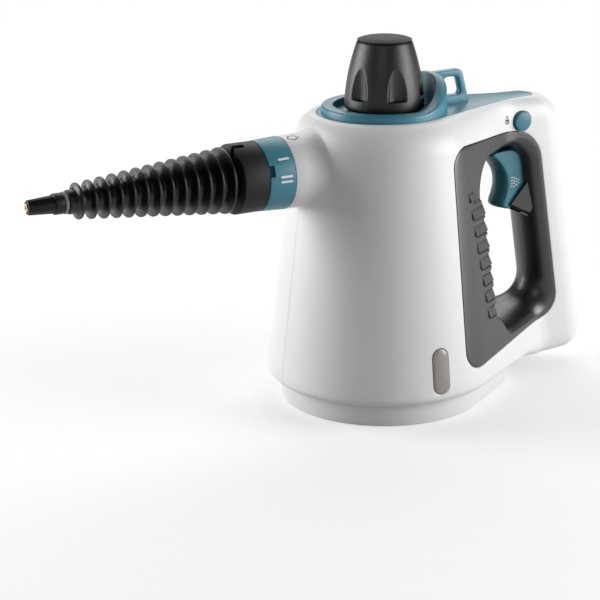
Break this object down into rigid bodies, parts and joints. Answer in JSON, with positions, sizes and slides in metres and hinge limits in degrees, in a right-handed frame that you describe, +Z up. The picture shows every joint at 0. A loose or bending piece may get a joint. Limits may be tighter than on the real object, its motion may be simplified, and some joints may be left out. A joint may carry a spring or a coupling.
{
  "type": "handheld steam cleaner",
  "caption": "Upright handheld steam cleaner: round boiler housing with a closed side handle, ribbed cone nozzle on a turning ring, screw cap in a hooded collar, trigger and lock bolt.",
  "frame": {"origin": "centre of the round body at the floor, on the flat underside of the base cover", "axes": "+Z up, +X towards the handle, -X along the nozzle, +Y to the right half; the object is close to symmetric about the XZ plane"},
  "size_m": [0.392, 0.1494, 0.2347],
  "materials": {
    "shell_white": "satin white",
    "base_white": "satin white",
    "cover_teal": "satin teal",
    "liner_grey": "dark grey satin",
    "trigger_teal": "satin teal",
    "lock_teal": "satin teal",
    "steel": "plain steel",
    "lens_smoke": "smoked lens",
    "lamp_amber": "amber lamp",
    "cap_charcoal": "satin charcoal",
    "disc_charcoal": "satin charcoal",
    "core_natural": "natural plastic",
    "rubber": "black rubber",
    "brass": "turned brass",
    "ring_teal": "satin teal",
    "spigot_black": "matte black",
    "collar_black": "matte charcoal",
    "nozzle_black": "satin black",
    "seal_grey": "grey seal",
    "tip_black": "matte black",
    "boiler_alloy": "cast alloy",
    "alloy": "plain alloy",
    "natural_plastic": "natural plastic"
  },
  "bodies": {
    "housing": {"shell_left": "shell_white", "shell_right": "shell_white", "base_cover": "base_white", "top_cover": "cover_teal", "grip_liner_left": "liner_grey", "grip_liner_right": "liner_grey", "trigger_pin": "steel", "trigger_spring": "steel", "indicator_lens": "lens_smoke", "pilot_lamp": "lamp_amber", "filler_seal": "rubber", "boiler_lower": "boiler_alloy", "boiler_upper": "boiler_alloy", "boiler_gasket": "rubber", "flange_screw_1": "steel", "flange_screw_2": "steel", "flange_screw_3": "steel", "flange_screw_4": "steel", "heater_plate": "alloy", "thermostat": "natural_plastic", "thermal_fuse": "alloy", "valve_body": "brass", "valve_spring": "steel", "terminal_block": "natural_plastic", "cord_gland": "rubber", "shell_screw_1": "steel", "shell_screw_2": "steel", "shell_screw_3": "steel", "shell_screw_4": "steel"},
    "trigger_lever": {"trigger": "trigger_teal"},
    "valve_rod_body": {"valve_stem": "steel", "valve_rod": "steel"},
    "lock_bolt": {"lock_button": "lock_teal"},
    "cap_plug": {"cap_core": "core_natural", "cap_gasket": "rubber", "relief_spring": "steel"},
    "cap_handle": {"cap_knob": "cap_charcoal", "cap_top_disc": "disc_charcoal"},
    "relief_pin": {"relief_valve": "brass"},
    "steam_selector": {"steam_ring": "ring_teal", "outlet_spigot": "spigot_black"},
    "nozzle": {"nozzle_collar": "collar_black", "cone_nozzle": "nozzle_black", "nozzle_seal_ring": "seal_grey", "nozzle_tip": "tip_black", "jet_insert": "brass"}
  },
  "joints": [
    {"name": "trigger_pull", "type": "hinge", "parent": "housing", "child": "trigger_lever", "pos_m": [0.098, 0, 0.161], "axis": [0, -1, 0], "range_deg": [0, 12], "stiffness_Nm_per_rad": 0.6, "springref_deg": -4.58, "deforming": ["trigger_spring"]},
    {"name": "valve_rod_push", "type": "slide", "parent": "housing", "child": "valve_rod_body", "axis": [-1, 0, 0], "range_m": [0, 0.0014], "deforming": ["valve_spring"]},
    {"name": "lock_push", "type": "slide", "parent": "housing", "child": "lock_bolt", "axis": [0, 1, 0], "range_m": [0, 0.0022]},
    {"name": "cap_lift", "type": "slide", "parent": "housing", "child": "cap_plug", "axis": [0, 0, 1], "range_m": [0, 0.075]},
    {"name": "cap_turn", "type": "hinge", "parent": "cap_plug", "child": "cap_handle", "pos_m": [0, 0, 0.2], "axis": [0, 0, 1], "continuous": true},
    {"name": "relief_lift", "type": "slide", "parent": "cap_plug", "child": "relief_pin", "axis": [0, 0, 1], "range_m": [0, 0.0015], "stiffness_N_per_m": 800, "springref_m": -0.003, "deforming": ["relief_spring"]},
    {"name": "ring_turn", "type": "hinge", "parent": "housing", "child": "steam_selector", "pos_m": [-0.0747, 0, 0.1554], "axis": [-1, 0, 0], "range_deg": [0, 75]},
    {"name": "nozzle_pull", "type": "slide", "parent": "steam_selector", "child": "nozzle", "axis": [-1, 0, 0], "range_m": [0, 0.03]}
  ],
  "couplings": [
    {"joint": "valve_rod_push", "follows": "trigger_pull", "m_per_rad": 0.006}
  ]
}
